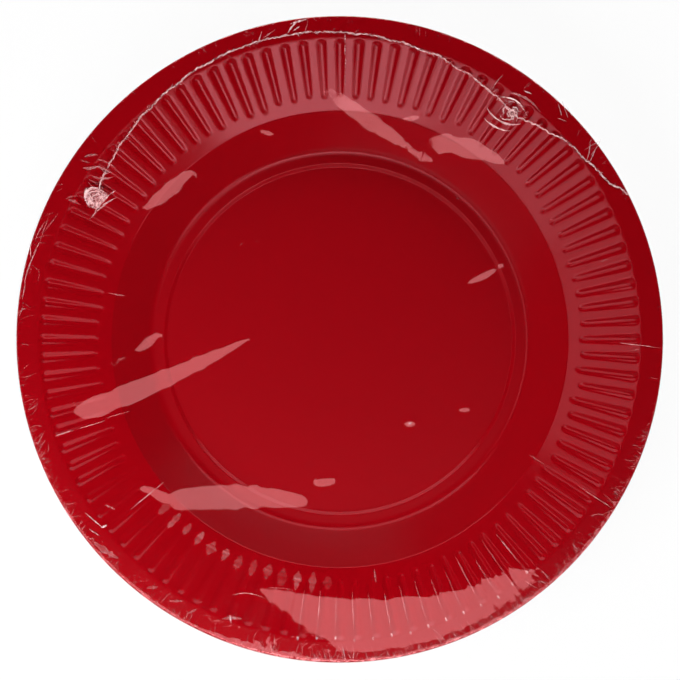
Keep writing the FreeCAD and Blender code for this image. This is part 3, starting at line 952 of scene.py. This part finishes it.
def printed_board(finish):
    """The eating side: deep red ink under a gloss varnish, with the faint mottle and grain of the
    board below it."""
    material = bpy.data.materials.new("printed_board")
    graph = Graph(material)
    cloud = graph.noise(70, 4)
    fibre = graph.noise(900, 3, 0.6)
    shade = (cloud - 0.5) * 0.16 + (fibre - 0.5) * 0.10 + 0.5
    dark = tuple(0.88 * part for part in finish.red)
    light = tuple(1.12 * part for part in finish.red)
    colour = graph.mix(shade, opaque(dark), opaque(light))
    across = graph.add("ShaderNodeVectorMath", {"operation": "LENGTH"}, {0: graph.place()})
    rim = Signal(graph, across.outputs["Value"]).between(0.070, 0.079)
    rough = fibre * 0.05 + 0.155 - rim * 0.055
    normal = graph.bump(fibre * 0.4 + graph.noise(2600, 2), 0.10, 0.00006)
    shader = graph.add("ShaderNodeBsdfPrincipled", None, {
        "Base Color": colour, "Roughness": rough, "Normal": normal,
        "Specular IOR Level": 0.24, "Specular Tint": (1.0, 0.42, 0.48, 1.0),
    })
    graph.finish(shader.outputs[0])
    return material


def bare_board(finish):
    """The underside and the cut edge: off-white uncoated board with short fibres and specks."""
    material = bpy.data.materials.new("bare_board")
    graph = Graph(material)
    fibre = graph.noise(700, 5, 0.65, graph.stretched((1.0, 0.35, 1.0)))
    speck = graph.noise(1500, 2).between(0.66, 0.74)
    shade = fibre * 0.8 + graph.noise(60, 3) * 0.3
    dark = tuple(0.86 * part for part in finish.board)
    pulp = graph.mix(shade, opaque(dark), opaque(finish.board))
    colour = graph.mix(speck * 0.35, pulp, (0.42, 0.36, 0.30, 1.0))
    normal = graph.bump(fibre, 0.35, 0.00008)
    shader = graph.add("ShaderNodeBsdfPrincipled", None, {
        "Base Color": colour, "Roughness": 0.82, "Normal": normal,
    })
    graph.finish(shader.outputs[0])
    return material


def clear_film(finish):
    """The film: it lets light through and mirrors a little of it, more at a slant, with fine
    crinkles that are strongest along the edge."""
    material = bpy.data.materials.new("clear_film")
    graph = Graph(material)
    place = graph.place()
    length = graph.add("ShaderNodeVectorMath", {"operation": "LENGTH"}, {0: place})
    edge = Signal(graph, length.outputs["Value"]).between(0.104, 0.117)
    crinkle = graph.noise(420, 2, 0.6)
    normal = graph.bump(crinkle * (edge + 0.06), 0.25, 0.0003)
    slant = Signal(graph, graph.add("ShaderNodeLayerWeight", None, {"Blend": 0.5}).outputs["Facing"])
    factor = slant ** 5 * 0.8 + 0.078
    gloss = graph.add("ShaderNodeBsdfPrincipled", None, {
        "Base Color": opaque(finish.film), "Metallic": 1.0, "Normal": normal,
        "Roughness": crinkle * 0.05 + 0.035,
    })
    clear = graph.add("ShaderNodeBsdfTransparent", None, {"Color": (1.0, 1.0, 1.0, 1.0)})
    both = graph.add("ShaderNodeMixShader", None, {0: factor, 1: clear.outputs[0], 2: gloss.outputs[0]})
    graph.finish(both.outputs[0])
    return material


def frost_and_painted_glint_film(finish):
    """Sealed and creased film: the same film gone milky, as much as the frost kept at its
    points. Its strokes over the lower flutes are painted highlights."""
    material = bpy.data.materials.new("frost_and_painted_glint_film")
    graph = Graph(material)
    frost = graph.attribute("frost")
    grain = graph.noise(1800, 3, 0.6)
    colour = graph.mix(frost, opaque(tuple(0.85 * part for part in finish.frost)), (1.0, 0.64, 0.64, 1.0))
    milk = graph.add("ShaderNodeBsdfPrincipled", None, {
        "Base Color": colour, "Roughness": 0.3, "Normal": graph.bump(grain, 0.4, 0.0001),
    })
    clear = graph.add("ShaderNodeBsdfTransparent", None, {"Color": (1.0, 1.0, 1.0, 1.0)})
    factor = (frost * (grain * 0.6 + 0.7)).between(0.0, 1.0) * 0.92
    both = graph.add("ShaderNodeMixShader", None, {0: factor, 1: clear.outputs[0], 2: milk.outputs[0]})
    graph.finish(both.outputs[0])
    return material


def pale_floor(finish):
    """The floor: matt white that shows as the white of the background, with the pack's shadow."""
    material = bpy.data.materials.new("pale_floor")
    graph = Graph(material)
    rays = graph.add("ShaderNodeLightPath").outputs
    seen = Signal(graph, rays["Is Camera Ray"]) + Signal(graph, rays["Is Glossy Ray"])
    seen = seen + Signal(graph, rays["Is Transmission Ray"])
    matt = graph.add("ShaderNodeBsdfDiffuse", None, {"Color": opaque(finish.floor)})
    glow = graph.add("ShaderNodeEmission", None, {"Color": (1.0, 1.0, 1.0, 1.0), "Strength": 1.0})
    both = graph.add("ShaderNodeMixShader", None, {
        0: seen.between(0.0, 1.0) * 0.93, 1: matt.outputs[0], 2: glow.outputs[0],
    })
    graph.finish(both.outputs[0])
    return material


def studio_world():
    """A dark ceiling over dim walls: the world's light is at the walls' strength below 20 degrees
    of elevation and gone above 50, and the camera sees it white."""
    wall_strength = 0.12
    world = bpy.data.worlds.new("studio")
    graph = Graph(world)
    heading = graph.add("ShaderNodeTexCoord").outputs["Generated"]
    split = graph.add("ShaderNodeSeparateXYZ", None, {0: heading})
    wall = 1 - Signal(graph, split.outputs["Z"]).between(sin(radians(20)), sin(radians(50)))
    seen = Signal(graph, graph.add("ShaderNodeLightPath").outputs["Is Camera Ray"])
    strength = wall * wall_strength * (1 - seen) + seen
    sky = graph.add("ShaderNodeBackground", None, {
        "Color": (1.0, 1.0, 1.0, 1.0), "Strength": strength,
    })
    graph.add("ShaderNodeOutputWorld", None, {0: sky.outputs[0]})
    return world


def settle(piece, node):
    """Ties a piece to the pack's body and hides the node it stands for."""
    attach(piece, BODY)
    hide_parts(node)
    return piece


# Operators

class PLATES_OT_stack(Operator):
    """Press the plates and nest them in their stack"""

    bl_idname = "plates.stack"
    bl_label = "Plates"

    def execute(self, context):
        pack = context.scene
        sides = (printed_board(pack.pack_finish), bare_board(pack.pack_finish))
        for node in PLATE_NODES:
            fine = node == PLATE_NODES[-1]
            plate = build_plate("paper_" + node, node, pack.plate_sizes, sides, fine)
            settle(plate, node)
        return {"FINISHED"}


class PLATES_OT_film(Operator):
    """Draw the shrink film round the stack"""

    bl_idname = "plates.film"
    bl_label = "Film"

    def execute(self, context):
        pack = context.scene
        film = build_film(pack.film_sizes, pack.plate_sizes, clear_film(pack.pack_finish))
        settle(film, FILM_NODE)
        return {"FINISHED"}


class PLATES_OT_seal(Operator):
    """Melt the seam and gather the two corners of the film"""

    bl_idname = "plates.seal"
    bl_label = "Seam, corners and creases"

    def execute(self, context):
        pack = context.scene
        film_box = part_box(FILM_NODE)
        top, _, _ = film_levels(film_box)
        edge = film_box[1][0]
        frost = frost_and_painted_glint_film(pack.pack_finish)
        sizes = pack.film_sizes
        left_curls = arc_rows(LEFT_CORNER, LEFT_CURLS)
        right_curls = arc_rows(RIGHT_CORNER, RIGHT_CURLS)
        pieces = (
            build_seam(sizes, top, frost),
            build_strokes("film_seam_spikes", seam_spikes(sizes), top + 0.05 * MM, frost, 6, 0.0, 1),
            build_strokes("film_rim_crinkles", rim_fringe(edge), top + 0.05 * MM, frost, 7, 0.03 * MM, 2),
            build_strokes("film_creases", crease_rows(), top + 0.12 * MM, frost, 15, 0.04 * MM, 3),
            # The strokes over the lower flutes are painted highlights: milky marks where the film glints.
            build_strokes("film_flute_painted_glints", lower_flute_glint_rows(pack.plate_sizes), top + 0.03 * MM,
                          frost, 11, 0.05 * MM, 6),
            build_knot("film_corner_left", LEFT_CORNER, 8.0 * MM, 1.1 * MM, 3, 7, top, frost),
            build_knot("film_corner_right", RIGHT_CORNER, 4.2 * MM, 0.8 * MM, 5, 9, top, frost),
            build_strokes("film_corner_left_curls", left_curls, top + 0.55 * MM, frost, 19, 0.06 * MM, 4),
            build_strokes("film_corner_right_curls", right_curls, top + 0.4 * MM, frost, 15, 0.06 * MM, 5),
        )
        for piece in pieces:
            settle(piece, FILM_NODE)
        return {"FINISHED"}


# Lamps: name, azimuth and angle off the vertical in degrees, distance, width and height in metres,
# and radiance. The sheens show only in gloss, and the fills only as plain light.
SHEENS = (
    ("softbox_left", 176, 21.5, 3.0, 0.95, 0.46, 3.4),
    ("softbox_front_left", 228, 21.5, 3.0, 0.95, 0.46, 5.2),
    ("softbox_front", 276, 21.5, 3.0, 0.95, 0.46, 11.0),
    ("softbox_front_right", 312, 34, 1.4, 0.45, 0.56, 4.2),
    ("overhead_panel", 270, 11, 2.5, 1.1, 0.5, 3.0),
    ("back_softbox", 88, 43, 1.0, 1.5, 0.36, 4.6),
)
FILLS = (
    ("low_fill", 238, 50, 0.45, 0.50, 0.30, 6.6),
    ("back_fill", 72, 72, 1.2, 1.6, 0.6, 7.0),
)


def softbox(name, azimuth, polar, distance, across, tall, radiance):
    """A rectangular lamp that looks at the pack's middle from that azimuth and angle off the
    vertical, in degrees, with that radiance over its face."""
    lamp = bpy.data.lights.new(name, "AREA")
    lamp.shape = "RECTANGLE"
    lamp.size = across
    lamp.size_y = tall
    lamp.energy = radiance * pi * across * tall
    holder = bpy.data.objects.new(name, lamp)
    level = distance * sin(radians(polar))
    place = Vector((level * cos(radians(azimuth)), level * sin(radians(azimuth)),
                    distance * cos(radians(polar))))
    holder.location = place
    holder.rotation_euler = place.to_track_quat("Z", "Y").to_euler()
    bpy.context.scene.collection.objects.link(holder)
    return holder


class PLATES_OT_stage(Operator):
    """Lay the floor and set the lamps and the camera"""

    bl_idname = "plates.stage"
    bl_label = "Floor, lamps and camera"

    def execute(self, context):
        pack = context.scene
        half = 3.0
        corners = np.array(((-half, -half, 0), (half, -half, 0), (half, half, 0), (-half, half, 0)))
        floor = make_object("floor", corners, np.arange(4), np.array((4,)), None,
                            (pale_floor(pack.pack_finish),))
        for lamp in SHEENS:
            softbox(*lamp).visible_diffuse = False
        for lamp in FILLS:
            softbox(*lamp).visible_glossy = False
        pack.world = studio_world()
        top, _, _ = film_levels(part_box(FILM_NODE))
        camera = bpy.data.cameras.new("camera")
        height = 3.0
        middle_x, middle_y = photo_place(PHOTO_WIDTH / 2, PHOTO_WIDTH / 2)
        half_view = PHOTO_WIDTH / 2 * PHOTO_PIXEL / (height - top)
        camera.sensor_width = 36
        camera.lens = camera.sensor_width / 2 / half_view
        camera.clip_start = 0.1
        camera.clip_end = 20
        holder = bpy.data.objects.new("camera", camera)
        holder.location = (float(middle_x), float(middle_y), height)
        pack.collection.objects.link(holder)
        pack.camera = holder
        pack.view_settings.view_transform = "Standard"
        return {"FINISHED"}


class PLATES_PT_pack(Panel):
    """Lists what the pack is made of"""

    bl_label = "Wrapped plates"
    bl_idname = "PLATES_PT_pack"
    bl_space_type = "VIEW_3D"
    bl_region_type = "UI"
    bl_category = "Plates"

    def draw(self, context):
        pack = context.scene
        for group in (pack.plate_sizes, pack.film_sizes, pack.pack_finish):
            box = self.layout.box()
            for name in group.bl_rna.properties.keys():
                if name not in {"rna_type", "name"}:
                    box.prop(group, name)
        for operator in OPERATORS:
            self.layout.operator(operator.bl_idname)


GROUPS = (PlateSizes, FilmSizes, Finish)
OPERATORS = (PLATES_OT_stack, PLATES_OT_film, PLATES_OT_seal, PLATES_OT_stage)


def register():
    for item in (*GROUPS, *OPERATORS, PLATES_PT_pack):
        bpy.utils.register_class(item)
    bpy.types.Scene.plate_sizes = PointerProperty(type=PlateSizes)
    bpy.types.Scene.film_sizes = PointerProperty(type=FilmSizes)
    bpy.types.Scene.pack_finish = PointerProperty(type=Finish)


def unregister():
    del bpy.types.Scene.pack_finish
    del bpy.types.Scene.film_sizes
    del bpy.types.Scene.plate_sizes
    for item in reversed((*GROUPS, *OPERATORS, PLATES_PT_pack)):
        bpy.utils.unregister_class(item)


def main():
    register()
    bpy.ops.plates.stack()
    bpy.ops.plates.film()
    bpy.ops.plates.seal()
    bpy.ops.plates.stage()


if __name__ == "__main__":
    main()
